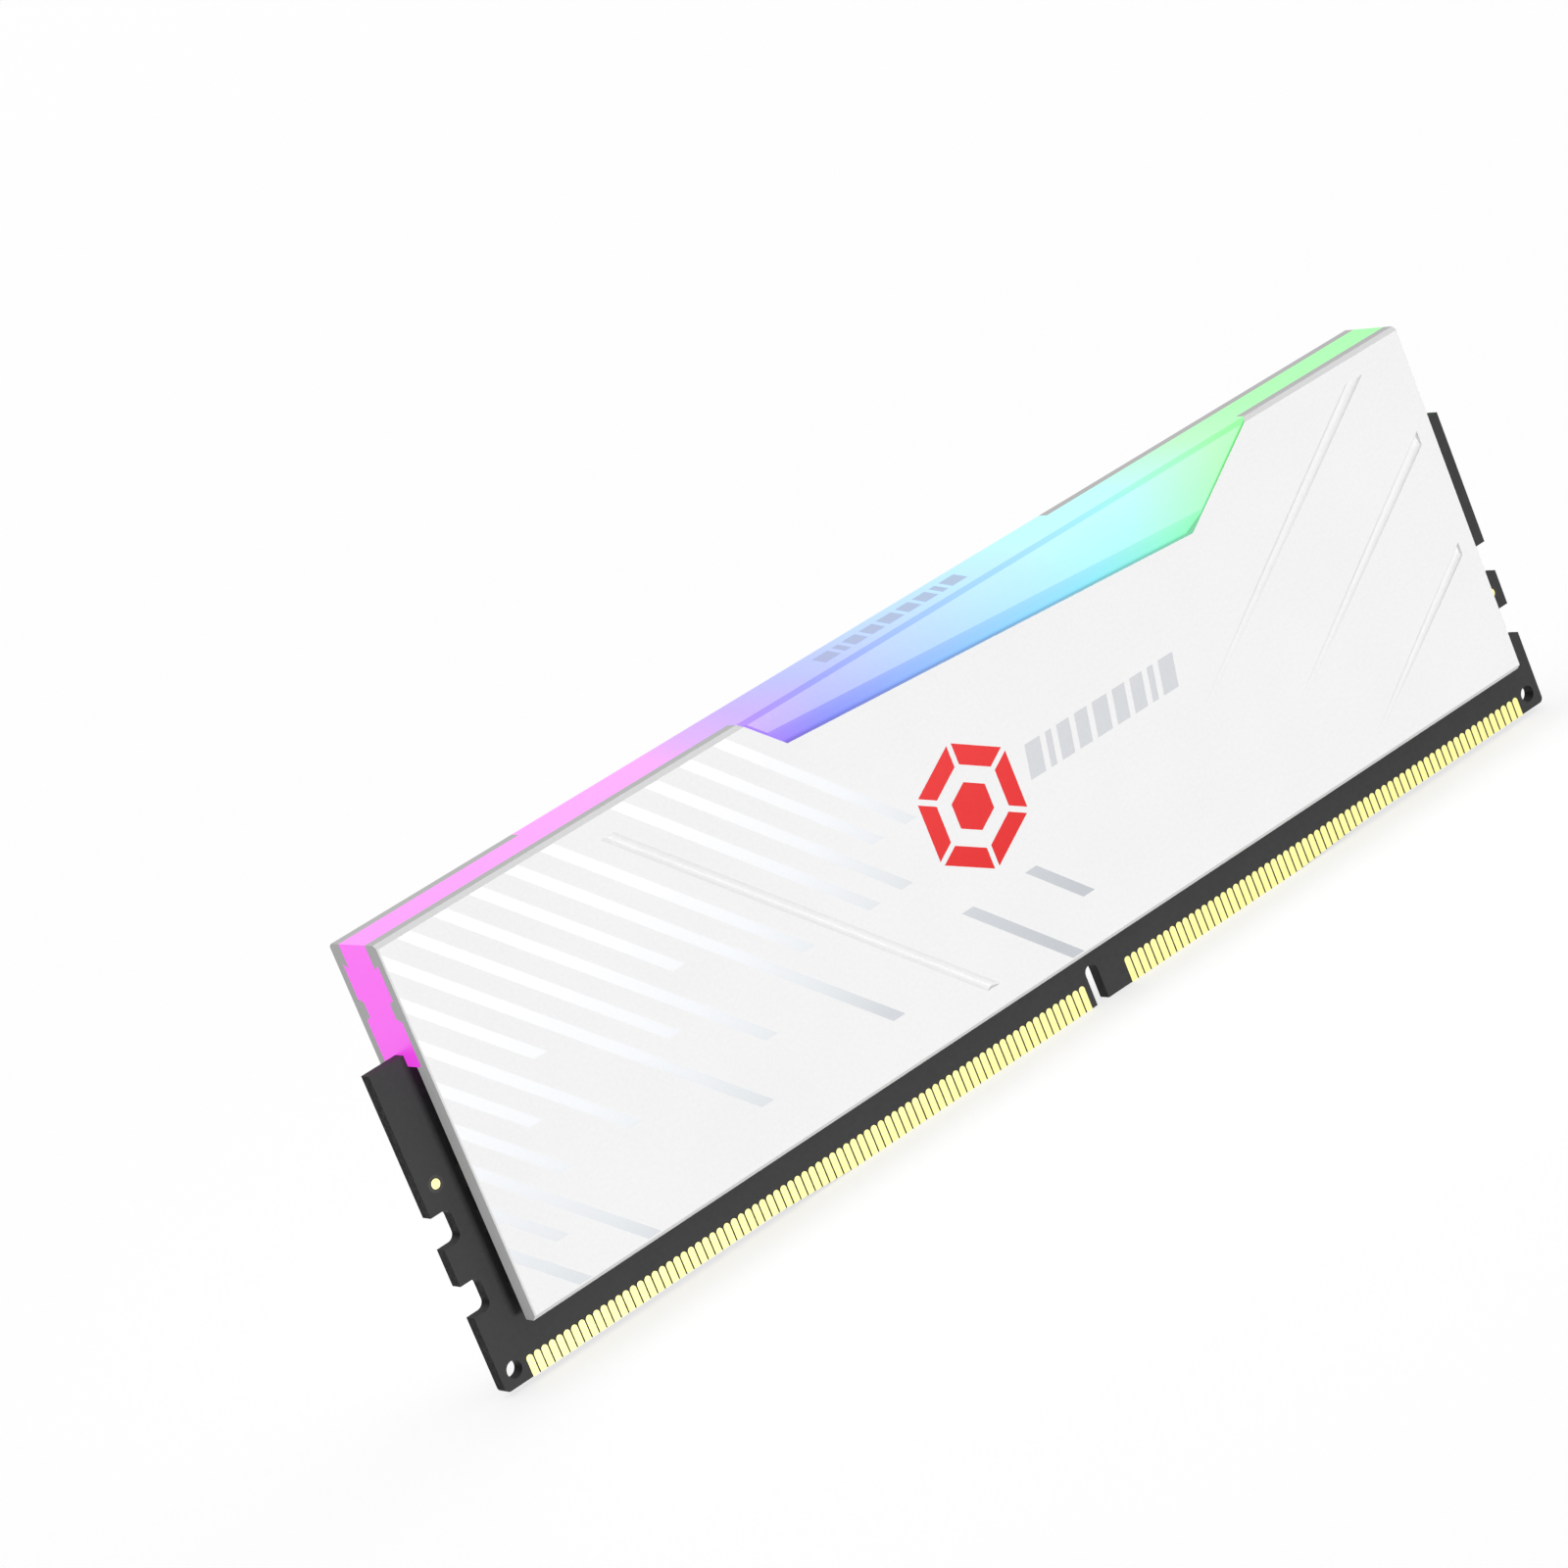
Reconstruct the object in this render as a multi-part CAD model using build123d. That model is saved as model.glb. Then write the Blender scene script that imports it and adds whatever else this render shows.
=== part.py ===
"""Desktop memory module: a circuit card with edge contacts and chips, held between two aluminium
heat spreader shells that clamp a light diffuser along the card's top edge.

Frame: +X runs along the card, +Z is up and the front faces -Y.  The origin is half-way along the
card, on its mid-plane, at the height of its lowest edge.  All sizes are in millimetres.
"""

from build123d import *
import os

# ---- Circuit card ----
CARD_LENGTH = 133.35
CARD_HEIGHT = 31.25
CARD_THICKNESS = 1.27
CARD_CORNER_RADIUS = 0.5
BOW_RISE = 0.5            # the contact edge is this much higher towards both ends
BOW_CENTRE = 3.0          # middle of its lowest stretch
BOW_FLAT_HALF = 28.7
BOW_RAMP = 9.4
LATCH_DEPTH = 2.0
LATCH_HEIGHT = 3.07
LATCH_RADIUS = 0.75
LATCH_CENTRES_Z = (9.445, 16.065)
CORNER_HOLE_DIAMETER = 1.6
CORNER_HOLE_INSET = 1.585
CORNER_HOLE_Z = 2.03
KEY_WIDTH = 1.5
KEY_CENTRE = 5.61
KEY_TOP = 3.75

# ---- Edge contacts and fiducial marks ----
CONTACT_PITCH = 0.85
CONTACT_WIDTH = 0.69
CONTACT_TOP = 2.44
CONTACT_END_OFFSET = 3.35   # card end to the centre of the first contact
CONTACTS_LEFT = 80
CONTACTS_RIGHT = 64
PLATING_THICKNESS = 0.04
FIDUCIAL_DIAMETER = 0.9
FIDUCIALS = ((-64.94, 20.03), (65.2, 12.75))

# ---- Components on the card: size along X, out of the card, along Z ----
CHIP_SIZE = (8.0, 1.0, 11.0)
CHIP_PITCH = 13.0
CHIP_CENTRES_X = tuple(side * (9.0 + CHIP_PITCH * i) for side in (-1, 1) for i in range(4))
CHIP_CENTRE_Z = 16.5
CHIP_CHAMFER = 0.12
EEPROM_SIZE = (3.0, 0.75, 2.0)
LED_CONTROLLER_SIZE = (4.0, 0.8, 4.0)
LED_CONTROLLER_CENTRE = (-10.0, 26.2)
TERMINATION_SIZE = (1.6, 0.45, 0.8)
TERMINATION_OFFSETS = (-3.0, -1.0, 1.0, 3.0)
TERMINATION_Z = 7.6
CAPACITOR_SIZE = (1.0, 0.5, 0.5)
CAPACITOR_OFFSETS = (-3.2, -1.6, 0.0, 1.6, 3.2)
CAPACITOR_Z = 24.4
BULK_SIZE = (1.3, 1.0, 2.2)
BULK_CENTRE_X = 61.8
BULK_CENTRES_Z = (8.0, 15.1, 19.5)
LED_SIZE = (3.5, 1.2, 1.3)
LED_CENTRES_X = (-52.0, -26.0, 0.0, 26.0, 52.0)
LED_CENTRE_Z = 29.1

# ---- Heat spreader shells ----
SHELL_HALF_LENGTH = 62.9
SHELL_BOTTOM = 5.79
SHELL_TOP = 41.75
SHELL_OUTER = 3.85        # mid-plane to the outer face
SHELL_INNER = 2.1         # mid-plane to the inner face beside the card
SHELL_TOP_CHAMFER = (0.5, 0.38)      # inwards, downwards
SHELL_BOTTOM_CHAMFER = (0.62, 0.5)   # inwards, upwards
SHELL_END_BEVEL = 0.12
PAD_HALF_LENGTH = 54.0
FRONT_PAD_Z = (10.5, 22.5)
BACK_PAD_Z = (8.0, 23.5)

# ---- Light diffuser: half width at each height, from its lip up to its top ----
LIP_BOTTOM = 30.2
LIP_BEVEL = 0.2
BODY_HALF = 2.81
WAIST_HALF = 2.1
NECK_HALF = 2.1
WAIST_Z = (34.75, 36.23)
WAIST_STEP = 0.27
BARB_Z = (39.43, 39.84)   # root at the neck, tip at the body's width

# ---- Window that the diffuser fills in each shell: corners in (X, Z), counter-clockwise ----
WINDOW = ((-17.63, 38.02), (31.9, 34.84), (42.62, SHELL_TOP), (-21.55, SHELL_TOP))
WINDOW_EDGE_DEPTH = (2.85, 3.6, 3.35, 3.6)  # mid-plane to the facet's outer edge: lower, right, top, left
WINDOW_FACET_WIDTH = (1.665, 0.25, 0.4, 0.25)
WINDOW_RIDGE = 3.82       # mid-plane to the broad facet
WINDOW_ROOT = 1.5         # the window block starts inside the diffuser's body

# ---- Grooves pressed into the shell's outer face ----
LONG_GROOVE_Z = (8.3, 39.4)
LONG_GROOVE_SUM = 1.26    # X + Z along the groove's centre line, which runs down to the right at 45 degrees
LONG_GROOVE_WIDTH = 1.55
LONG_GROOVE_DEPTH = 0.5
BLADE_SLOPE = 0.655       # rise over run of the three grooves that fade out down to the left
BLADE_OVERRUN = 3.0       # how far a blade's cutter goes on past its tip and its head
TOP_BLADE = (55.95, 39.4, 24.0, 0.7, 0.4)     # head X, head Z, tip X, radius, depth at the head
SIDE_BLADES = ((60.9, 31.05, 35.5, 0.63, 0.44), (60.9, 19.45, 43.0, 0.56, 0.42))

CARD_FACE = CARD_THICKNESS / 2
HALF_CARD = CARD_LENGTH / 2


def bow_height(x):
    """Height of the card's contact edge at x."""
    beyond = abs(x - BOW_CENTRE) - BOW_FLAT_HALF
    return BOW_RISE * min(max(beyond / BOW_RAMP, 0), 1)


def front_plane(depth):
    """Plane facing the front, its own x and y along X and Z, this far in front of the mid-plane."""
    return Plane(origin=(0, -depth, 0), x_dir=(1, 0, 0), z_dir=(0, -1, 0))


def raised(sketch, start, end):
    """Sketch drawn in X and Z, made solid between two depths in front of the mid-plane."""
    return extrude(front_plane(start) * sketch, amount=end - start)


def to_back(shape):
    """The same shape on the other side of the module."""
    return shape.rotate(Axis.Z, 180)


def mounted(size, x, z):
    """Box-shaped component on the card's front face, centred on x and z."""
    return Pos(x, -CARD_FACE - size[1] / 2, z) * Box(*size)


def group(shapes):
    """Separate solids that share one node."""
    return Compound(children=[solid for shape in shapes for solid in shape.solids()])


def card():
    """Bare circuit card with its bowed contact edge, latch notches, key slot and corner holes."""
    ramp_ends = [BOW_CENTRE + side * (BOW_FLAT_HALF + step)
                 for side, step in ((-1, BOW_RAMP), (-1, 0), (1, 0), (1, BOW_RAMP))]
    lower_edge = [(x, bow_height(x)) for x in (-HALF_CARD, *ramp_ends, HALF_CARD)]
    outline = make_face(Polyline(*lower_edge, (HALF_CARD, CARD_HEIGHT), (-HALF_CARD, CARD_HEIGHT), close=True))
    lower_corners = [v for v in outline.vertices() if abs(v.X) > HALF_CARD - 1 and v.Y < 1]
    outline = fillet(lower_corners, CARD_CORNER_RADIUS)
    latch = RectangleRounded(2 * LATCH_DEPTH, LATCH_HEIGHT, LATCH_RADIUS)
    for side in (-1, 1):
        for z in LATCH_CENTRES_Z:
            outline -= Pos(side * HALF_CARD, z) * latch
        outline -= Pos(side * (HALF_CARD - CORNER_HOLE_INSET), CORNER_HOLE_Z) * Circle(CORNER_HOLE_DIAMETER / 2)
    outline -= Pos(KEY_CENTRE, 0) * SlotOverall(2 * KEY_TOP, KEY_WIDTH, rotation=90)
    return raised(outline, -CARD_FACE, CARD_FACE)


def contact_pad(x):
    """One gold finger: square at the card's edge and round at its top."""
    half = CONTACT_WIDTH / 2
    bottom = max(bow_height(x - half), bow_height(x + half))
    shank_top = CONTACT_TOP - half
    shank = Pos(x, (bottom + shank_top) / 2) * Rectangle(CONTACT_WIDTH, shank_top - bottom)
    finger = shank + Pos(x, shank_top) * Circle(half)
    return raised(finger, CARD_FACE, CARD_FACE + PLATING_THICKNESS)


def contact_rows():
    """The two rows of gold fingers on the front, one each side of the key slot."""
    first = CONTACT_END_OFFSET - HALF_CARD
    left = [first + CONTACT_PITCH * i for i in range(CONTACTS_LEFT)]
    right = [-first - CONTACT_PITCH * i for i in range(CONTACTS_RIGHT)]
    return [contact_pad(x) for x in left + right]


def front_contacts():
    """Gold fingers on the front of the card."""
    return group(contact_rows())


def back_contacts():
    """Gold fingers on the back, straight behind those on the front."""
    return group([finger.mirror(Plane.XZ) for finger in contact_rows()])


def fiducials():
    """Bare gold alignment dots near the card's ends, two on each side."""
    dots = [raised(Pos(x, z) * Circle(FIDUCIAL_DIAMETER / 2), CARD_FACE, CARD_FACE + PLATING_THICKNESS)
            for x, z in FIDUCIALS]
    return group(dots + [to_back(dot) for dot in dots])


def dram_chip(x):
    """One memory chip package on the front of the card."""
    body = mounted(CHIP_SIZE, x, CHIP_CENTRE_Z)
    outer_face = body.faces().sort_by(Axis.Y)[0]
    return chamfer(outer_face.edges(), CHIP_CHAMFER)


def eeprom():
    """Small configuration memory between the middle two chips."""
    return mounted(EEPROM_SIZE, 0, CHIP_CENTRE_Z)


def led_controller():
    """Lighting controller on the back of the card, above the pad."""
    return to_back(mounted(LED_CONTROLLER_SIZE, *LED_CONTROLLER_CENTRE))


def row_under_chips(size, offsets, z):
    """The same component repeated at each offset from every chip's centre line."""
    return group([mounted(size, x + offset, z) for x in CHIP_CENTRES_X for offset in offsets])


def bulk_capacitors():
    """Larger capacitors standing along both ends of the card, inside the shells."""
    return group([mounted(BULK_SIZE, side * BULK_CENTRE_X, z) for side in (-1, 1) for z in BULK_CENTRES_Z])


def rgb_leds():
    """Lights under the diffuser's lip, the same row on both sides of the card."""
    row = [mounted(LED_SIZE, x, LED_CENTRE_Z) for x in LED_CENTRES_X]
    return group(row + [to_back(led) for led in row])


def thermal_pad_front():
    """Soft pad between the chips and the front shell."""
    return pad(CARD_FACE + CHIP_SIZE[1], FRONT_PAD_Z)


def thermal_pad_back():
    """Thicker soft pad between the bare back of the card and the back shell."""
    return to_back(pad(CARD_FACE, BACK_PAD_Z))


def pad(start, heights):
    """Flat pad reaching from a depth in front of the mid-plane out to the shell."""
    low, high = heights
    outline = Pos(0, (low + high) / 2) * Rectangle(2 * PAD_HALF_LENGTH, high - low)
    return raised(outline, start, SHELL_INNER)


def along_shells(half_profile_points):
    """Profile drawn as (distance from the mid-plane, height), run along the whole shell length at the front."""
    plane = Plane(origin=(-SHELL_HALF_LENGTH, 0, 0), x_dir=(0, -1, 0), z_dir=(-1, 0, 0))
    profile = make_face(Polyline(*half_profile_points, close=True))
    return extrude(plane * profile, amount=-2 * SHELL_HALF_LENGTH)


def interlock_points():
    """Line where the diffuser and a shell meet, from the lip up to the top."""
    return [
        (BODY_HALF - LIP_BEVEL, LIP_BOTTOM),
        (BODY_HALF, LIP_BOTTOM + LIP_BEVEL),
        (BODY_HALF, WAIST_Z[0] - WAIST_STEP),
        (WAIST_HALF, WAIST_Z[0]),
        (WAIST_HALF, WAIST_Z[1]),
        (BODY_HALF, WAIST_Z[1] + WAIST_STEP),
        (BODY_HALF, BARB_Z[1]),
        (NECK_HALF, BARB_Z[0]),
        (NECK_HALF, SHELL_TOP),
    ]


def window_prism(start, end):
    """Block with the window's outline between two depths in front of the mid-plane."""
    return raised(make_face(Polyline(*WINDOW, close=True)), start, end)


def facet_envelope(corner, next_corner, edge_depth, facet_width):
    """Everything behind the facet along one edge of the window and behind the broad facet beside it."""
    run = (next_corner[0] - corner[0], next_corner[1] - corner[1])
    direction = (run[0], 0, run[1])
    slope = (WINDOW_RIDGE - edge_depth) / facet_width
    margin = 2.0
    reach = 100.0
    outline = Polyline((reach, -margin), (-edge_depth + slope * margin, -margin), (-WINDOW_RIDGE, facet_width),
                       (-WINDOW_RIDGE, reach), (reach, reach), close=True)
    plane = Plane(origin=(corner[0], 0, corner[1]), x_dir=(0, 1, 0), z_dir=direction)
    return extrude(plane * make_face(outline), amount=reach, both=True)


def window_block():
    """Faceted part of the diffuser that stands in the front shell's window."""
    block = window_prism(WINDOW_ROOT, SHELL_OUTER + 1)
    for i, corner in enumerate(WINDOW):
        next_corner = WINDOW[(i + 1) % len(WINDOW)]
        block &= facet_envelope(corner, next_corner, WINDOW_EDGE_DEPTH[i], WINDOW_FACET_WIDTH[i])
    return block


def light_diffuser():
    """Translucent bar clamped between the shells, with a slot over the card's top edge."""
    half = along_shells([(0, CARD_HEIGHT), (CARD_FACE, CARD_HEIGHT), (CARD_FACE, LIP_BOTTOM),
                         *interlock_points(), (0, SHELL_TOP)])
    half += window_block()
    return half + to_back(half)


def long_groove():
    """Cutter for the straight V groove that runs down the left half of the face."""
    low, high = LONG_GROOVE_Z
    half = LONG_GROOVE_WIDTH / 2
    section = make_face(Polyline((-half, 0), (half, 0), (0, -LONG_GROOVE_DEPTH), close=True))
    ends = [Plane(origin=(LONG_GROOVE_SUM - z, -SHELL_OUTER, z), x_dir=(1, 0, 0), z_dir=(0, 0, -1)) * section
            for z in (low, high)]
    return loft(ends)


def blade_groove(head_x, head_z, tip_x, radius, depth):
    """Cutter like a round bar laid on the face: it sinks in towards the head and lifts out at the tip."""
    run = head_x - tip_x
    head = Vector(head_x, -SHELL_OUTER - radius + depth, head_z)
    tip = Vector(tip_x, -SHELL_OUTER - radius, head_z - BLADE_SLOPE * run)
    along = (head - tip).normalized()
    start = Plane(origin=tip - along * BLADE_OVERRUN, z_dir=along)
    return extrude(start * Circle(radius), amount=(head - tip).length + 2 * BLADE_OVERRUN)


def blade_grooves():
    """The three blade grooves on the right half of the face, each with a flat end wall at its head."""
    reach = 60.0
    top_x, top_z = TOP_BLADE[:2]
    below_head = Pos(top_x, -SHELL_OUTER, top_z - reach / 2) * Box(2 * reach, reach, reach)
    cutters = [blade_groove(*TOP_BLADE) & below_head]
    for blade in SIDE_BLADES:
        left_of_head = Pos(blade[0] - reach / 2, -SHELL_OUTER, blade[1]) * Box(reach, reach, 2 * reach)
        cutters.append(blade_groove(*blade) & left_of_head)
    return cutters


def heat_spreader_front():
    """Aluminium shell with its window, chamfered edges and face grooves."""
    chamfer_in, chamfer_down = SHELL_TOP_CHAMFER
    foot_in, foot_up = SHELL_BOTTOM_CHAMFER
    shell = along_shells([(SHELL_INNER, SHELL_BOTTOM), (SHELL_INNER, LIP_BOTTOM), *interlock_points(),
                          (SHELL_OUTER - chamfer_in, SHELL_TOP), (SHELL_OUTER, SHELL_TOP - chamfer_down),
                          (SHELL_OUTER, SHELL_BOTTOM + foot_up), (SHELL_OUTER - foot_in, SHELL_BOTTOM)])
    end_edges = [edge for edge in shell.edges() if abs(edge.center().X) > SHELL_HALF_LENGTH - 0.01
                 and edge.center().Y < -SHELL_OUTER + 0.01]
    shell = chamfer(end_edges, SHELL_END_BEVEL)
    shell -= window_prism(WINDOW_ROOT, SHELL_OUTER + 1)
    for cutter in [long_groove(), *blade_grooves()]:
        shell -= cutter
    return shell


def heat_spreader_back():
    """The same shell, turned to cover the back."""
    return to_back(heat_spreader_front())


def module():
    """Every sub-part by its node name."""
    nodes = {
        "pcb": card(),
        "contact_pads_front": front_contacts(),
        "contact_pads_back": back_contacts(),
        "fiducial_dots": fiducials(),
        "spd_eeprom": eeprom(),
        "led_controller": led_controller(),
        "termination_resistors": row_under_chips(TERMINATION_SIZE, TERMINATION_OFFSETS, TERMINATION_Z),
        "decoupling_capacitors": row_under_chips(CAPACITOR_SIZE, CAPACITOR_OFFSETS, CAPACITOR_Z),
        "bulk_capacitors": bulk_capacitors(),
        "rgb_leds": rgb_leds(),
        "thermal_pad_front": thermal_pad_front(),
        "thermal_pad_back": thermal_pad_back(),
        "heat_spreader_front": heat_spreader_front(),
        "heat_spreader_back": heat_spreader_back(),
        "light_diffuser": light_diffuser(),
    }
    for number, x in enumerate(sorted(CHIP_CENTRES_X), start=1):
        nodes[f"dram_chip_{number}"] = dram_chip(x)
    return nodes


os.makedirs("parts", exist_ok=True)
for name, shape in module().items():
    shape.label = name
    export_step(shape, f"parts/{name}.step")
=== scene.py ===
"""Looks of the desktop memory module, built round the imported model: materials for every part,
the printed decoration on both shells, the small marks on the card, a floor, lights and a camera.
Sizes below are in millimetres unless a comment says otherwise; everything is placed in metres."""

import math

import bmesh
import bpy
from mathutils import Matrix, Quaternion, Vector


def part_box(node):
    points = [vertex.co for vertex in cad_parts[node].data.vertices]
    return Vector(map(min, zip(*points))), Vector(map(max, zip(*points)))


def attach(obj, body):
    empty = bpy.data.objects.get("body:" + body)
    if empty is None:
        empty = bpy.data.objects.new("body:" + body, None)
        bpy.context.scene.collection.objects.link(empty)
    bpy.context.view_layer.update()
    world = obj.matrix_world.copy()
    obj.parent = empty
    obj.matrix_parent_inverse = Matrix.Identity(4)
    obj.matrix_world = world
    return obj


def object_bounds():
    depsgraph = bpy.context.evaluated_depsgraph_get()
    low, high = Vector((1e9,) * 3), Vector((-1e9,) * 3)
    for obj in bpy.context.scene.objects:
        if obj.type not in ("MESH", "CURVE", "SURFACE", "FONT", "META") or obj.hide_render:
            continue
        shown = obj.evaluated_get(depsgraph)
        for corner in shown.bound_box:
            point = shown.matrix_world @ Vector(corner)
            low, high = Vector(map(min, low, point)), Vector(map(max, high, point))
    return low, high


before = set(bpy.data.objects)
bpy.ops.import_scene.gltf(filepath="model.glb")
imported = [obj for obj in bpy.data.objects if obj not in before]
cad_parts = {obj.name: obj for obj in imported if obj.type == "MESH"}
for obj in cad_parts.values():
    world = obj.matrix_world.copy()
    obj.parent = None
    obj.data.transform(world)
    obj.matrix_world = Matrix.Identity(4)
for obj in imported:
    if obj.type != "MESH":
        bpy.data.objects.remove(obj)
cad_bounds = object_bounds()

MM = 0.001

# ---- Places read from the imported model, in millimetres ----
SHELL_LOW, SHELL_HIGH = [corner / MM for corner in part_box("heat_spreader_front")]
CARD_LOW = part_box("pcb")[0] / MM
FACE_DEPTH = -SHELL_LOW.y            # mid-plane to a shell's outer face
CARD_FACE_DEPTH = -CARD_LOW.y        # mid-plane to the card's front
FACE_LEFT = SHELL_LOW.x + 0.13       # the flat face starts inside the end bevel
FACE_TOP = SHELL_HIGH.z - 0.39       # and below the top chamfer
FACE_BOTTOM = SHELL_LOW.z + 0.64
TOP_HEIGHT = SHELL_HIGH.z

# ---- Size of the broad shading that every matte surface has ----
SHADING_SIZE = 9.0

# ---- Powder coat ----
COAT_COLOUR = (0.89, 0.89, 0.89)
# grey of the painted shade on the coat's slopes that face down
SLOPE_SHADE_COLOUR = (0.67, 0.67, 0.675)
WINDOW_LOW = 34.5                    # the walls of a shell's window lie between these two heights
WINDOW_HIGH = TOP_HEIGHT - 0.05

# ---- Light inside the diffuser ----
GLOW_STOPS = ((-62.0, (229, 45, 222)), (-34.0, (237, 86, 233)), (-24.0, (176, 100, 238)),
              (-19.0, (146, 104, 242)), (-12.0, (122, 130, 244)), (-4.0, (127, 163, 246)),
              (15.0, (130, 208, 246)), (22.0, (128, 223, 232)), (30.0, (130, 237, 196)),
              (38.0, (124, 242, 144)), (46.0, (96, 242, 110)), (62.0, (86, 242, 98)))   # X, display colour
FACET_LIGHT_STOPS = ((-0.3, 0.0), (-0.05, 0.132), (0.2, 0.134),
              (0.5, 0.048), (0.8, 0.04), (1.0, 0.138))    # Z of a facet's normal, painted white light added
GLOW_DRIFT_SIZE = 14.0               # blotches in which the colours wander by a millimetre
DIFFUSER_FOOT = 31.0                 # heights between which the painted white light grows
WINDOW_FACETS_FOOT = 35.0
DIFFUSER_CREST = 41.5

# ---- Printed stripes: parallel bands at 45 degrees, numbered from the left ----
STRIPE_PITCH = 3.99                  # along X
STRIPE_WIDTH = 1.45
STRIPE_FIRST_SUM = -49.9             # X + Z along the first stripe's right edge
STRIPE_ENDS = (FACE_BOTTOM, 10.86, FACE_BOTTOM, 15.86, 20.86, 15.86, 25.86, 10.86, 20.86,
               15.86, 25.86, 10.86, 20.86, None, 20.86, 20.86, 25.86, 25.86)   # None: the groove runs there
SHORT_STRIPES = ((15, 15.86, FACE_BOTTOM), (17, 15.86, 10.86))   # stripe number, upper end, lower end
STRIPE_STOPS = ((-12.0, (197, 200, 205)), (2.0, (210, 213, 217)), (9.0, (228, 231, 234)),
                (20.0, (244, 246, 249)), (35.0, (255, 255, 255)))   # tone level, display colour
STRIPE_BEND = 0.0055                 # tone level lost with the square of the distance from here:
STRIPE_BEND_X = -60.0

# ---- Printed emblem and bars ----
PRINT_THICKNESS = 0.016
PRINT_SINK = 0.006                   # how far a print reaches into the surface below it
EMBLEM_CENTRE = (-1.95, 23.9)
EMBLEM_RADIUS = 6.3                  # to the corners of its outer hexagon
EMBLEM_BAND = 2.1                    # measured along a corner's radius
EMBLEM_CORE = 2.4
EMBLEM_GAP = 0.32                    # half the gap between two sides
EMBLEM_STOPS = ((17.0, (226, 40, 40)), (31.0, (236, 56, 57)))     # Z, display colour
BAR_WIDTHS = (1.9, 0.75, 1.6, 1.6, 1.9, 1.6, 1.6, 0.75, 1.9)
FACE_BARS = (5.0, 23.0, 19.1, 3.2, 0.22)     # left, bottom, total length, height, lean
TOP_BARS = (-9.2, -1.4, 17.6, 2.9, 0.22)

# ---- Bare rings round the card's gold dots ----
DOT_CENTRES = ((-64.94, 20.03), (65.2, 12.75))
DOT_RING = (0.47, 0.78)              # inner and outer radius
RING_STEPS = 48

# ---- Camera: the direction it looks in, what it looks at and how far off it stands ----
CAMERA_HEADING = 32.33               # degrees, from +Y towards +X
CAMERA_PITCH = -15.34
CAMERA_ROLL = 22.23
CAMERA_AIM = (-17.11, 0.03, 33.75)
CAMERA_DISTANCE = 521.6
CAMERA_LENS = 135.8

# ---- Studio ----
WORLD_LOW = 0.22                     # brightness of the surroundings straight below
WORLD_HIGH = 0.62                    # and straight above
KEY_LIGHTS = (("key_front", (0.0, -1.0, -0.2)), ("key_back", (0.0, 1.0, -0.2)))   # name, direction
KEY_DISTANCE = 1.2                   # metres
KEY_SIZE = 0.28                      # metres
KEY_POWER = 8.75                     # watts
FLOOR_HALF_SIZE = 6.0                # metres
FLOOR_GAP = 0.02                     # under the card's lowest edge
FLOOR_GLOW = 0.7


# ---------------------------------------------------------------- node helpers

def add_node(tree, kind, inputs=None, **settings):
    """A node with its settings, and its inputs set to values or linked to sockets."""
    node = tree.nodes.new(kind)
    for name, value in settings.items():
        setattr(node, name, value)
    for socket, value in (inputs or {}).items():
        if isinstance(value, bpy.types.NodeSocket):
            tree.links.new(value, node.inputs[socket])
        else:
            node.inputs[socket].default_value = value
    return node


def new_material(name, **constants):
    """A material with its tree and shader; constants go straight on the shader's sockets."""
    material = bpy.data.materials.new(name)
    material.use_nodes = True
    tree = material.node_tree
    shader = tree.nodes["Principled BSDF"]
    for socket, value in constants.items():
        shader.inputs[socket.replace("_", " ")].default_value = value
    return material, tree, shader


def true_normal(tree):
    """Normal of the flat face being shaded, before any smoothing."""
    return add_node(tree, "ShaderNodeNewGeometry").outputs["True Normal"]


def object_position(tree):
    """The point being shaded, in metres in the model's own frame."""
    return add_node(tree, "ShaderNodeTexCoord").outputs["Object"]


def noise(tree, size):
    """Noise whose blotches are about this many millimetres across, around 0.5."""
    inputs = {"Vector": object_position(tree), "Scale": 1 / (size * MM)}
    return add_node(tree, "ShaderNodeTexNoise", inputs).outputs["Fac"]


def split(tree, vector):
    """The X, Y and Z outputs of a vector."""
    return add_node(tree, "ShaderNodeSeparateXYZ", {0: vector}).outputs


def math_node(tree, operation, a, b=0.0):
    return add_node(tree, "ShaderNodeMath", {0: a, 1: b}, operation=operation).outputs[0]


def remap(tree, value, low, high, to_low, to_high):
    """The value moved from one range to another, and kept inside the second."""
    inputs = {"Value": value, "From Min": low, "From Max": high, "To Min": to_low, "To Max": to_high}
    return add_node(tree, "ShaderNodeMapRange", inputs, clamp=True).outputs["Result"]


def ramp(tree, value, stops):
    """Colour ramp over (position, colour) stops; positions are in the value's own unit."""
    low, high = stops[0][0], stops[-1][0]
    node = add_node(tree, "ShaderNodeValToRGB", {"Fac": remap(tree, value, low, high, 0.0, 1.0)})
    elements = node.color_ramp.elements
    while len(elements) < len(stops):
        elements.new(0.5)
    for element, (position, colour) in zip(elements, stops):
        element.position = (position - low) / (high - low)
        element.color = (*colour, 1.0)
    return node.outputs["Color"]


def mix_colour(tree, factor, a, b, blend="MIX"):
    """Mix of two colours; the factor and the colours are constants or sockets."""
    node = add_node(tree, "ShaderNodeMix", data_type="RGBA", blend_type=blend)
    for socket, value in ((node.inputs[0], factor), (node.inputs[6], a), (node.inputs[7], b)):
        if isinstance(value, bpy.types.NodeSocket):
            tree.links.new(value, socket)
        elif isinstance(value, float):
            socket.default_value = value
        else:
            socket.default_value = (*value, 1.0)
    return node.outputs[2]


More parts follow.
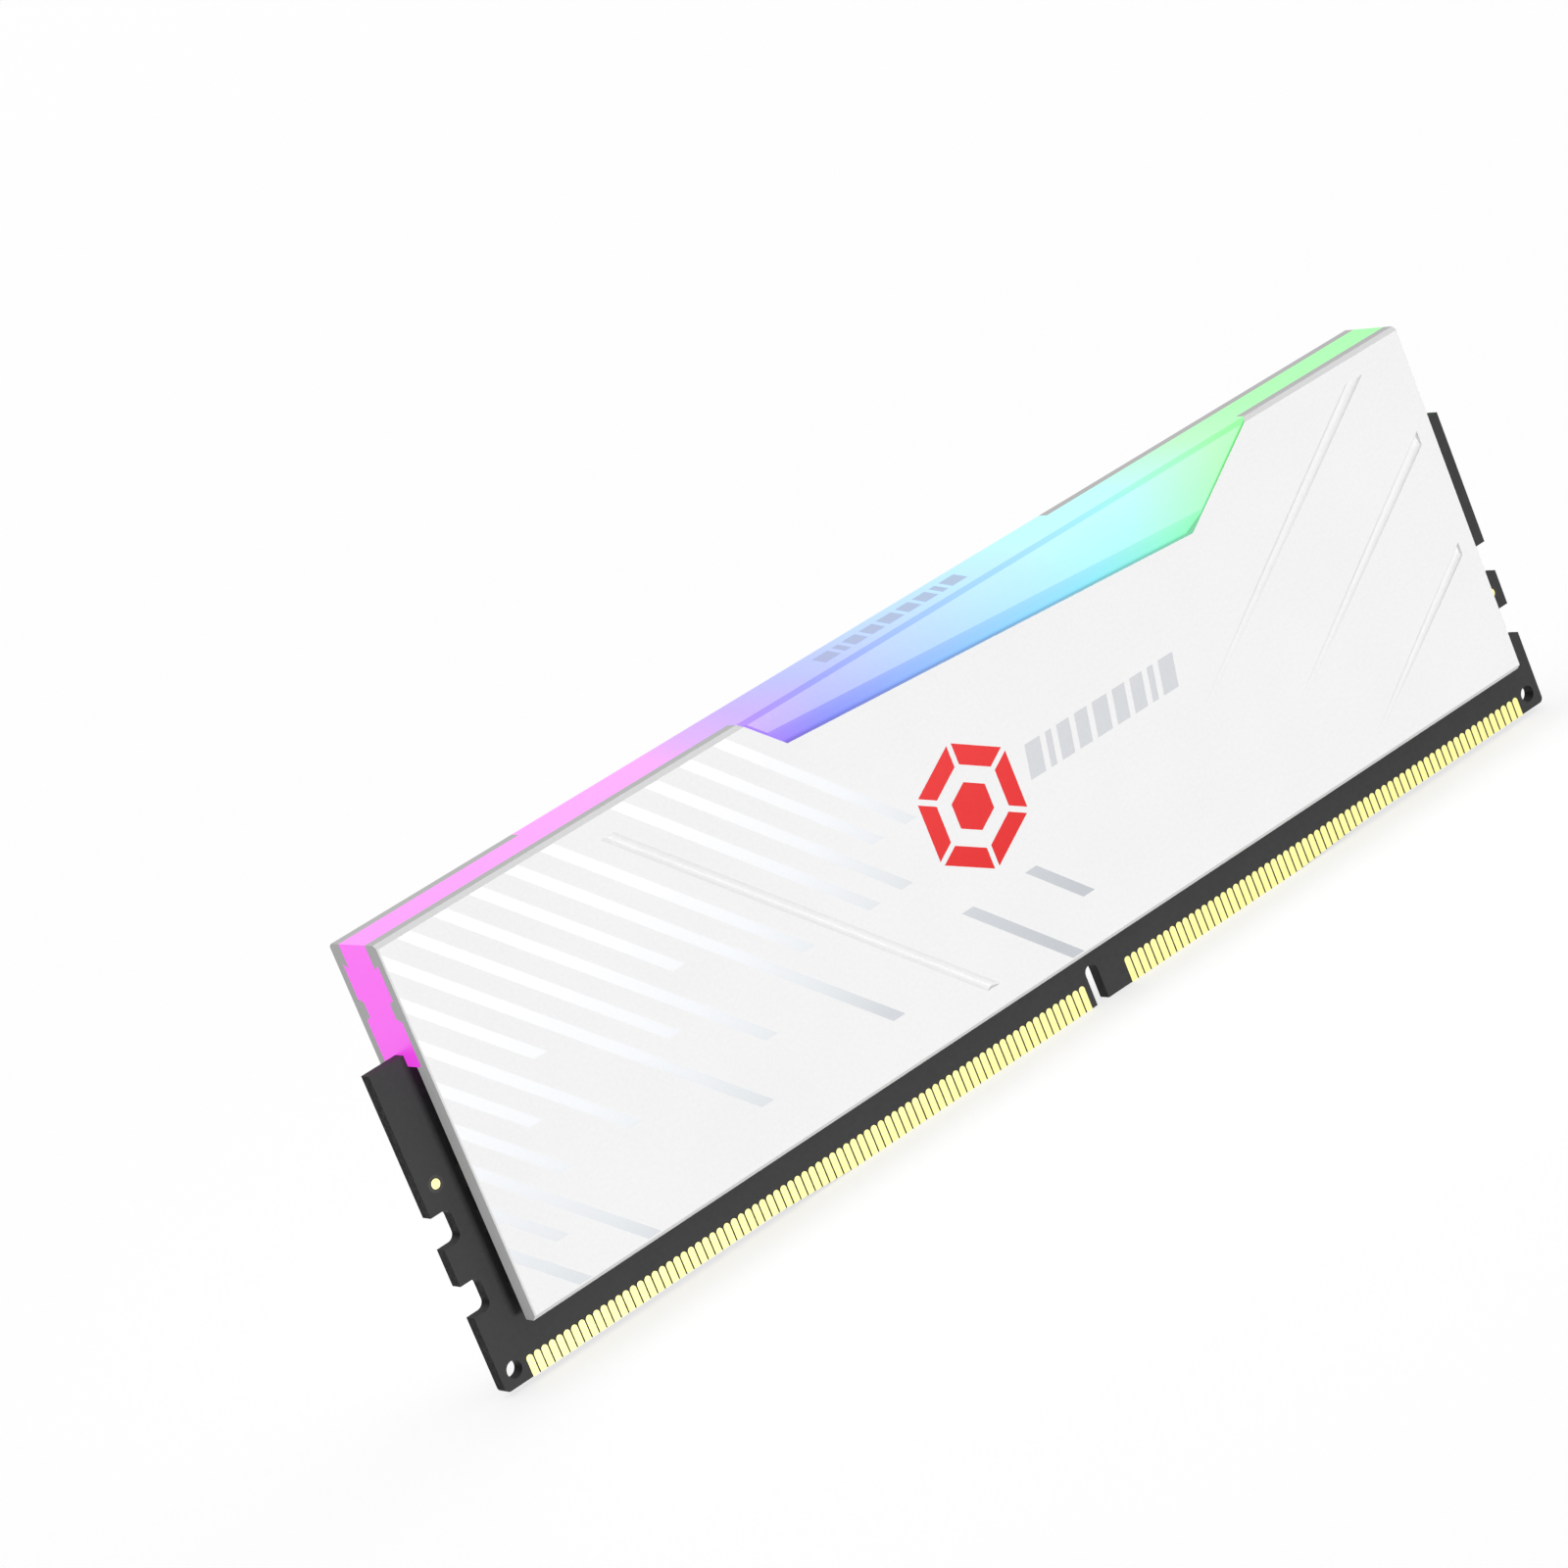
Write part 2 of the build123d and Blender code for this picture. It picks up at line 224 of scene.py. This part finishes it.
def bump(tree, height, strength, depth, flat=False):
    """Normal output of a bump whose full height is this many millimetres, on flat faces if asked."""
    inputs = {"Height": height, "Strength": strength, "Distance": depth * MM}
    if flat:
        inputs["Normal"] = true_normal(tree)
    return add_node(tree, "ShaderNodeBump", inputs).outputs["Normal"]


def linear(*srgb):
    """Linear colour from 0 to 255 display values."""
    return tuple(((c / 255 + 0.055) / 1.055) ** 2.4 if c > 10 else c / 255 / 12.92 for c in srgb)


def grained(tree, shader, colour, grain, shade, roughness, spread, depth, flat=False):
    """Colour with fine grain and broad shading, and roughness and bump that follow the same grain."""
    fine = noise(tree, grain)
    broad = noise(tree, SHADING_SIZE)
    lightness = math_node(tree, "ADD", remap(tree, fine, 0.3, 0.7, 1 - shade, 1 + shade),
                          remap(tree, broad, 0.3, 0.7, -shade / 2, shade / 2))
    tinted = add_node(tree, "ShaderNodeVectorMath", {0: colour, "Scale": lightness}, operation="SCALE")
    rough = remap(tree, fine, 0.3, 0.7, roughness - spread, roughness + spread)
    tree.links.new(tinted.outputs[0], shader.inputs["Base Color"])
    tree.links.new(rough, shader.inputs["Roughness"])
    tree.links.new(bump(tree, fine, 0.6, depth, flat), shader.inputs["Normal"])


# ---------------------------------------------------------------- materials

def shell_coat():
    """White powder coat with a fine even grain, greyed by painted shade on down-facing slopes; the windows'
    walls are painted dark as shade and glow with the diffuser's colour as painted light.
    """
    material, tree, shader = new_material("white_powder_coat", Specular_IOR_Level=0.0, Emission_Strength=1.0)
    walls = window_walls(tree)
    # painted shade greys the coat on slopes that face down
    coat = mix_colour(tree, slope_shade(tree), COAT_COLOUR, SLOPE_SHADE_COLOUR)
    # painted shade: the window walls are made nearly black
    colour = mix_colour(tree, walls, coat, (0.02, 0.02, 0.02))
    grained(tree, shader, colour, grain=0.35, shade=0.016, roughness=0.46, spread=0.06, depth=0.012,
            flat=True)
    # painted light: the window walls glow in the diffuser's colour, lifted with grey
    spill = mix_colour(tree, 1.0, glow_colour(tree), (0.1, 0.1, 0.1), "ADD")
    glow = mix_colour(tree, math_node(tree, "MULTIPLY", walls, 0.7), (0.0, 0.0, 0.0), spill)
    tree.links.new(glow, shader.inputs["Emission Color"])
    return material


def slope_shade(tree):
    """1 on slopes that face down and, as their shell is seen, to the right, which are greyed there as
    painted shade.
    """
    normal = split(tree, true_normal(tree))
    side = math_node(tree, "SIGN", split(tree, object_position(tree))["Y"])
    rightward = remap(tree, math_node(tree, "MULTIPLY", normal["X"], side), -0.33, 0.3, 1.0, 0.0)
    downward = remap(tree, normal["Z"], -0.55, -0.15, 1.0, 0.0)
    return math_node(tree, "MULTIPLY", rightward, downward)


def window_walls(tree):
    """1 on the narrow walls of the shells' windows that face up towards the diffuser, and 0 elsewhere."""
    normal = split(tree, true_normal(tree))
    position = split(tree, object_position(tree))
    tests = (
        math_node(tree, "GREATER_THAN", normal["Z"], 0.5),
        math_node(tree, "LESS_THAN", math_node(tree, "ABSOLUTE", normal["Y"]), 0.3),
        math_node(tree, "GREATER_THAN", position["Z"], WINDOW_LOW * MM),
        math_node(tree, "LESS_THAN", position["Z"], WINDOW_HIGH * MM),
    )
    inside = tests[0]
    for test in tests[1:]:
        inside = math_node(tree, "MULTIPLY", inside, test)
    return inside


def stripe_print(side, label):
    """Pearl ink that fades from white at the upper left to blue-grey at the lower right."""
    material, tree, shader = new_material(f"pearl_ink_{label}", Specular_IOR_Level=0.25)
    position = split(tree, object_position(tree))
    across = math_node(tree, "ADD", math_node(tree, "MULTIPLY", position["X"], side / MM), -STRIPE_BEND_X)
    fall = math_node(tree, "MULTIPLY", math_node(tree, "POWER", across, 2.0), STRIPE_BEND)
    height = math_node(tree, "MULTIPLY", position["Z"], 1 / MM)
    stops = [(at, linear(*colour)) for at, colour in STRIPE_STOPS]
    colour = ramp(tree, math_node(tree, "SUBTRACT", height, fall), stops)
    grained(tree, shader, colour, grain=0.3, shade=0.012, roughness=0.4, spread=0.05, depth=0.004)
    return material


def emblem_print():
    """Red ink, slightly deeper towards the bottom."""
    material, tree, shader = new_material("red_ink", Specular_IOR_Level=0.25)
    stops = [(at * MM, linear(*colour)) for at, colour in EMBLEM_STOPS]
    colour = ramp(tree, split(tree, object_position(tree))["Z"], stops)
    grained(tree, shader, colour, grain=0.2, shade=0.02, roughness=0.38, spread=0.06, depth=0.004)
    return material


def grey_print():
    """Plain grey ink."""
    material, tree, shader = new_material("grey_ink", Specular_IOR_Level=0.25)
    colour = linear(212, 214, 218)
    grained(tree, shader, colour, grain=0.3, shade=0.02, roughness=0.4, spread=0.05, depth=0.004)
    return material


def glow_colour(tree):
    """Colour of the inner light at the point being shaded."""
    along = math_node(tree, "MULTIPLY", split(tree, object_position(tree))["X"], 1 / MM)
    drift = remap(tree, noise(tree, GLOW_DRIFT_SIZE), 0.3, 0.7, -1.0, 1.0)
    stops = [(at, linear(*colour)) for at, colour in GLOW_STOPS]
    return ramp(tree, math_node(tree, "ADD", along, drift), stops)


def painted_facet_light(tree):
    """Painted white light on the plastic: most on its top, least on facets that lean down and on its ends.
    """
    normal = split(tree, true_normal(tree))
    height = split(tree, object_position(tree))["Z"]
    by_facet = ramp(tree, normal["Z"], [(at, (facet_light, facet_light, facet_light)) for at, facet_light in FACET_LIGHT_STOPS])
    sideways = math_node(tree, "POWER", math_node(tree, "ABSOLUTE", normal["X"]), 2.0)
    facing = math_node(tree, "MULTIPLY", by_facet, math_node(tree, "SUBTRACT", 1.0, sideways))
    upward = remap(tree, height, WINDOW_FACETS_FOOT * MM, DIFFUSER_CREST * MM, 0.6, 1.5)
    everywhere = remap(tree, height, DIFFUSER_FOOT * MM, DIFFUSER_CREST * MM, 0.0, 0.03)
    return math_node(tree, "ADD", math_node(tree, "MULTIPLY", facing, upward), everywhere)


def lit_diffuser():
    """Milky plastic lit from inside, pink at the left end through violet, blue and aqua to green; painted
    light whitens its top.
    """
    material, tree, shader = new_material("lit_milky_plastic", IOR=1.49, Emission_Strength=1.0)
    facet_light = painted_facet_light(tree)
    white = add_node(tree, "ShaderNodeCombineXYZ", {0: facet_light, 1: facet_light, 2: facet_light})
    # painted white light, by facet and height, is added to the inner glow
    glow = mix_colour(tree, 1.0, glow_colour(tree), white.outputs[0], "ADD")
    fine = noise(tree, 0.3)
    plastic = mix_colour(tree, fine, (0.09, 0.09, 0.09), (0.11, 0.11, 0.11))
    tree.links.new(glow, shader.inputs["Emission Color"])
    tree.links.new(plastic, shader.inputs["Base Color"])
    tree.links.new(remap(tree, fine, 0.3, 0.7, 0.3, 0.42), shader.inputs["Roughness"])
    tree.links.new(bump(tree, fine, 0.4, 0.003, flat=True), shader.inputs["Normal"])
    return material


def top_bar_print():
    """Thin grey ink on the diffuser, with some of the light coming through."""
    material, tree, shader = new_material("top_grey_ink", Specular_IOR_Level=0.25, Emission_Strength=0.3)
    colour = linear(222, 230, 244)
    grained(tree, shader, colour, grain=0.3, shade=0.02, roughness=0.4, spread=0.05, depth=0.004)
    tree.links.new(glow_colour(tree), shader.inputs["Emission Color"])
    return material


def solder_mask():
    """Black solder mask over glass cloth; its routed edges are bare, darkened by painted shade except along
    the top, where painted light makes them paler.
    """
    material, tree, shader = new_material("black_solder_mask", Specular_IOR_Level=0.1)
    normal = split(tree, true_normal(tree))
    masked = remap(tree, math_node(tree, "ABSOLUTE", normal["Y"]), 0.4, 0.6, 0.0, 1.0)
    upward = remap(tree, normal["Z"], 0.4, 0.9, 0.0, 1.0)
    # painted shade on the side and lower edges, painted light on the upward-facing top edge
    edge = mix_colour(tree, upward, (0.005, 0.005, 0.005), (0.085, 0.083, 0.082))
    colour = mix_colour(tree, masked, edge, (0.0475, 0.0475, 0.048))
    grained(tree, shader, colour, grain=0.45, shade=0.07, roughness=0.55, spread=0.08, depth=0.012)
    return material


def gold_plating():
    """Pale gold plate, lightly brushed up and down; its sides are painted dark brown as shade in the gaps
    between the pads.
    """
    material, tree, shader = new_material("gold_plate", Metallic=1.0)
    stretched = {"Vector": object_position(tree), "Scale": (1.0, 1.0, 0.08)}
    brushed = {"Vector": add_node(tree, "ShaderNodeMapping", stretched).outputs[0], "Scale": 9000.0}
    streaks = add_node(tree, "ShaderNodeTexNoise", brushed).outputs["Fac"]
    outward = math_node(tree, "ABSOLUTE", split(tree, true_normal(tree))["Y"])
    facing_out = remap(tree, outward, 0.3, 0.7, 0.0, 1.0)
    plate = mix_colour(tree, streaks, (1.0, 0.91, 0.33), (1.0, 0.95, 0.42))
    # painted shade: the sides of the pads are dark brown
    tree.links.new(mix_colour(tree, facing_out, (0.24, 0.11, 0.028), plate), shader.inputs["Base Color"])
    tree.links.new(remap(tree, streaks, 0.3, 0.7, 0.3, 0.42), shader.inputs["Roughness"])
    tree.links.new(bump(tree, streaks, 0.3, 0.003), shader.inputs["Normal"])
    return material


def plain_part(name, colour, grain, roughness):
    """Matte moulded or fired part with a fine grain."""
    material, tree, shader = new_material(name)
    grained(tree, shader, colour, grain, shade=0.08, roughness=roughness, spread=0.08, depth=0.006)
    return material


def led_lens():
    """Clear-domed white lights, glowing in the colour of the diffuser above them."""
    material, tree, shader = new_material("led_lens", Roughness=0.2, Emission_Strength=0.6)
    grain = noise(tree, 0.2)
    dome = mix_colour(tree, grain, (0.75, 0.75, 0.7), (0.85, 0.85, 0.8))
    tree.links.new(glow_colour(tree), shader.inputs["Emission Color"])
    tree.links.new(dome, shader.inputs["Base Color"])
    tree.links.new(bump(tree, grain, 0.3, 0.004), shader.inputs["Normal"])
    return material


def assign(node, material):
    """Gives a CAD node one material."""
    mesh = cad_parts[node].data
    mesh.materials.clear()
    mesh.materials.append(material)


def dress_cad_nodes():
    """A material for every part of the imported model."""
    coat = shell_coat()
    gold = gold_plating()
    chip = plain_part("black_moulding", (0.02, 0.02, 0.021), 0.15, 0.55)
    ceramic = plain_part("brown_ceramic", (0.2, 0.15, 0.11), 0.2, 0.4)
    tantalum = plain_part("black_tantalum", (0.03, 0.029, 0.028), 0.2, 0.5)
    foam = plain_part("grey_pad", (0.3, 0.34, 0.4), 0.5, 0.85)
    for node in ("heat_spreader_front", "heat_spreader_back"):
        assign(node, coat)
    for node in ("contact_pads_front", "contact_pads_back", "fiducial_dots"):
        assign(node, gold)
    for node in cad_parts:
        if node.startswith("dram_chip") or node in ("spd_eeprom", "led_controller"):
            assign(node, chip)
    for node in ("termination_resistors", "decoupling_capacitors"):
        assign(node, ceramic)
    assign("bulk_capacitors", tantalum)
    for node in ("thermal_pad_front", "thermal_pad_back"):
        assign(node, foam)
    assign("pcb", solder_mask())
    assign("light_diffuser", lit_diffuser())
    assign("rgb_leds", led_lens())


# ---------------------------------------------------------------- printed decoration

def clip(outline, keep):
    """The part of an outline where keep(point) is not negative; keep is linear in the point."""
    kept = []
    for a, b in zip(outline, outline[1:] + outline[:1]):
        keep_a, keep_b = keep(a), keep(b)
        if keep_a >= 0:
            kept.append(a)
        if keep_a * keep_b < 0:
            share = keep_a / (keep_a - keep_b)
            kept.append((a[0] + share * (b[0] - a[0]), a[1] + share * (b[1] - a[1])))
    return kept


def stripe_outline(number, upper, lower):
    """One 45-degree band between two heights, cut off at the face's left edge."""
    right_sum = STRIPE_FIRST_SUM + STRIPE_PITCH * number
    left_sum = right_sum - STRIPE_WIDTH
    band = [(left_sum - upper, upper), (left_sum - lower, lower),
            (right_sum - lower, lower), (right_sum - upper, upper)]
    return clip(band, lambda point: point[0] - FACE_LEFT)


def stripe_outlines():
    """Every stripe of one face."""
    long_ones = [stripe_outline(i, FACE_TOP, end) for i, end in enumerate(STRIPE_ENDS) if end is not None]
    return long_ones + [stripe_outline(*stripe) for stripe in SHORT_STRIPES]


def polar(radius, degrees):
    """Point on a circle round the emblem's centre."""
    angle = math.radians(degrees)
    return Vector((EMBLEM_CENTRE[0] + radius * math.cos(angle), EMBLEM_CENTRE[1] + radius * math.sin(angle)))


def emblem_outlines():
    """A hexagonal ring in six separate sides round a small solid hexagon."""
    corners = [60 * i + 30 for i in range(6)]
    inner = EMBLEM_RADIUS - EMBLEM_BAND
    outlines = []
    for start in corners:
        end = start + 60
        gap = (polar(1, end) - polar(1, start)).normalized() * EMBLEM_GAP
        side = (polar(inner, start) + gap, polar(EMBLEM_RADIUS, start) + gap,
                polar(EMBLEM_RADIUS, end) - gap, polar(inner, end) - gap)
        outlines.append([tuple(point) for point in side])
    outlines.append([tuple(polar(EMBLEM_CORE, corner)) for corner in corners])
    return outlines


def bar_outlines(left, bottom, length, height, lean):
    """A row of leaning bars of mixed widths that fills a length."""
    gap = (length - sum(BAR_WIDTHS)) / (len(BAR_WIDTHS) - 1)
    top = bottom + height
    shift = lean * height
    outlines = []
    for width in BAR_WIDTHS:
        right = left + width
        outlines.append([(left, bottom), (right, bottom), (right + shift, top), (left + shift, top)])
        left = right + gap
    return outlines


def print_piece(name, outlines, place, material):
    """Thin closed slabs with these outlines; place(a, b, rise) gives a point that far above the surface."""
    mesh = bmesh.new()
    for outline in outlines:
        low = [mesh.verts.new(place(a, b, -PRINT_SINK)) for a, b in outline]
        high = [mesh.verts.new(place(a, b, PRINT_THICKNESS - PRINT_SINK)) for a, b in outline]
        mesh.faces.new(high)
        mesh.faces.new(low[::-1])
        for i in range(len(outline)):
            j = (i + 1) % len(outline)
            mesh.faces.new((low[i], low[j], high[j], high[i]))
    bmesh.ops.recalc_face_normals(mesh, faces=mesh.faces)
    finish_piece(name, mesh, material)


def finish_piece(name, mesh, material):
    """Turns a bmesh into a piece that rides on the module."""
    data = bpy.data.meshes.new(name)
    mesh.to_mesh(data)
    mesh.free()
    data.materials.append(material)
    piece = bpy.data.objects.new(name, data)
    bpy.context.scene.collection.objects.link(piece)
    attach(piece, "root")


def ring_piece(name, centres, place, material):
    """Thin closed rings round these centres; place is the same as for a print."""
    inner, outer = DOT_RING
    low, high = -PRINT_SINK, PRINT_THICKNESS - PRINT_SINK
    section = ((inner, low), (outer, low), (outer, high), (inner, high))
    turns = [2 * math.pi * i / RING_STEPS for i in range(RING_STEPS)]
    mesh = bmesh.new()
    for a, b in centres:
        loops = []
        for radius, rise in section:
            spots = [(a + radius * math.cos(turn), b + radius * math.sin(turn)) for turn in turns]
            loops.append([mesh.verts.new(place(x, z, rise)) for x, z in spots])
        for loop, following in zip(loops, loops[1:] + loops[:1]):
            for i in range(RING_STEPS):
                j = (i + 1) % RING_STEPS
                mesh.faces.new((loop[i], loop[j], following[j], following[i]))
    bmesh.ops.recalc_face_normals(mesh, faces=mesh.faces)
    finish_piece(name, mesh, material)


def on_card(side):
    """Places a print on the card's front (side 1) or on its back (side -1)."""
    return lambda x, z, rise: Vector((side * x, -side * (CARD_FACE_DEPTH + rise), z)) * MM


def on_face(side):
    """Places a print on the front face (side 1) or on the back one (side -1)."""
    return lambda x, z, rise: Vector((side * x, -side * (FACE_DEPTH + rise), z)) * MM


def on_top(x, y, rise):
    """Places a print on the diffuser's top."""
    return Vector((x, y, TOP_HEIGHT + rise)) * MM


def print_decoration():
    """Stripes, emblem and bars on both shells, and bars on the diffuser's top."""
    red = emblem_print()
    grey = grey_print()
    for side, label in ((1, "front"), (-1, "back")):
        place = on_face(side)
        print_piece(f"stripes_{label}", stripe_outlines(), place, stripe_print(side, label))
        print_piece(f"emblem_{label}", emblem_outlines(), place, red)
        print_piece(f"face_bars_{label}", bar_outlines(*FACE_BARS), place, grey)
    print_piece("top_bars", bar_outlines(*TOP_BARS), on_top, top_bar_print())


def card_marks():
    """The bare laminate round each gold dot, on both sides of the card."""
    laminate = plain_part("bare_laminate", (0.016, 0.014, 0.012), 0.3, 0.5)
    for side, label in ((1, "front"), (-1, "back")):
        ring_piece(f"dot_rings_{label}", DOT_CENTRES, on_card(side), laminate)


# ---------------------------------------------------------------- floor, light and camera

def floor():
    """Plain pale floor under the module."""
    mesh = bmesh.new()
    bmesh.ops.create_grid(mesh, x_segments=1, y_segments=1, size=FLOOR_HALF_SIZE)
    data = bpy.data.meshes.new("floor")
    mesh.to_mesh(data)
    mesh.free()
    material, _, shader = new_material("pale_floor", Roughness=0.9, Emission_Strength=FLOOR_GLOW)
    shader.inputs["Base Color"].default_value = (0.5, 0.5, 0.5, 1.0)
    shader.inputs["Emission Color"].default_value = (1.0, 1.0, 1.0, 1.0)
    data.materials.append(material)
    plane = bpy.data.objects.new("floor", data)
    plane.location.z = (CARD_LOW.z - FLOOR_GAP) * MM
    plane.visible_diffuse = False
    plane.visible_shadow = False
    bpy.context.scene.collection.objects.link(plane)


def key_light(name, direction):
    """Soft square light that looks at the module's middle."""
    data = bpy.data.lights.new(name, "AREA")
    data.size = KEY_SIZE
    data.energy = KEY_POWER
    light = bpy.data.objects.new(name, data)
    away = Vector(direction).normalized()
    middle = (cad_bounds[0] + cad_bounds[1]) / 2
    light.location = middle + away * KEY_DISTANCE
    light.rotation_mode = "QUATERNION"
    light.rotation_quaternion = (-away).to_track_quat("-Z", "Y")
    bpy.context.scene.collection.objects.link(light)


def studio():
    """Surroundings that brighten overhead and are seen as white, and a large soft light on each side."""
    world = bpy.data.worlds.new("studio")
    world.use_nodes = True
    tree = world.node_tree
    upward = split(tree, add_node(tree, "ShaderNodeTexCoord").outputs["Generated"])["Z"]
    strength = remap(tree, upward, -1.0, 1.0, WORLD_LOW, WORLD_HIGH)
    background = tree.nodes["Background"]
    background.inputs["Color"].default_value = (1.0, 1.0, 1.0, 1.0)
    seen = add_node(tree, "ShaderNodeLightPath").outputs["Is Camera Ray"]
    tree.links.new(math_node(tree, "MAXIMUM", strength, seen), background.inputs["Strength"])
    bpy.context.scene.world = world
    for name, direction in KEY_LIGHTS:
        key_light(name, direction)
    bpy.context.scene.view_settings.view_transform = "Standard"


def camera():
    """Long lens, above the front and left of it, tilted so that the module climbs to the right."""
    heading = math.radians(CAMERA_HEADING)
    pitch = math.radians(CAMERA_PITCH)
    level = math.cos(pitch)
    forward = Vector((math.sin(heading) * level, math.cos(heading) * level, math.sin(pitch)))
    data = bpy.data.cameras.new("camera")
    data.lens = CAMERA_LENS
    data.clip_start = 0.01
    data.clip_end = 20.0
    view = bpy.data.objects.new("camera", data)
    view.location = Vector(CAMERA_AIM) * MM - forward * CAMERA_DISTANCE * MM
    view.rotation_mode = "QUATERNION"
    roll = Quaternion((0, 0, 1), -math.radians(CAMERA_ROLL))
    view.rotation_quaternion = forward.to_track_quat("-Z", "Y") @ roll
    bpy.context.scene.collection.objects.link(view)
    bpy.context.scene.camera = view


dress_cad_nodes()
print_decoration()
card_marks()
floor()
studio()
camera()
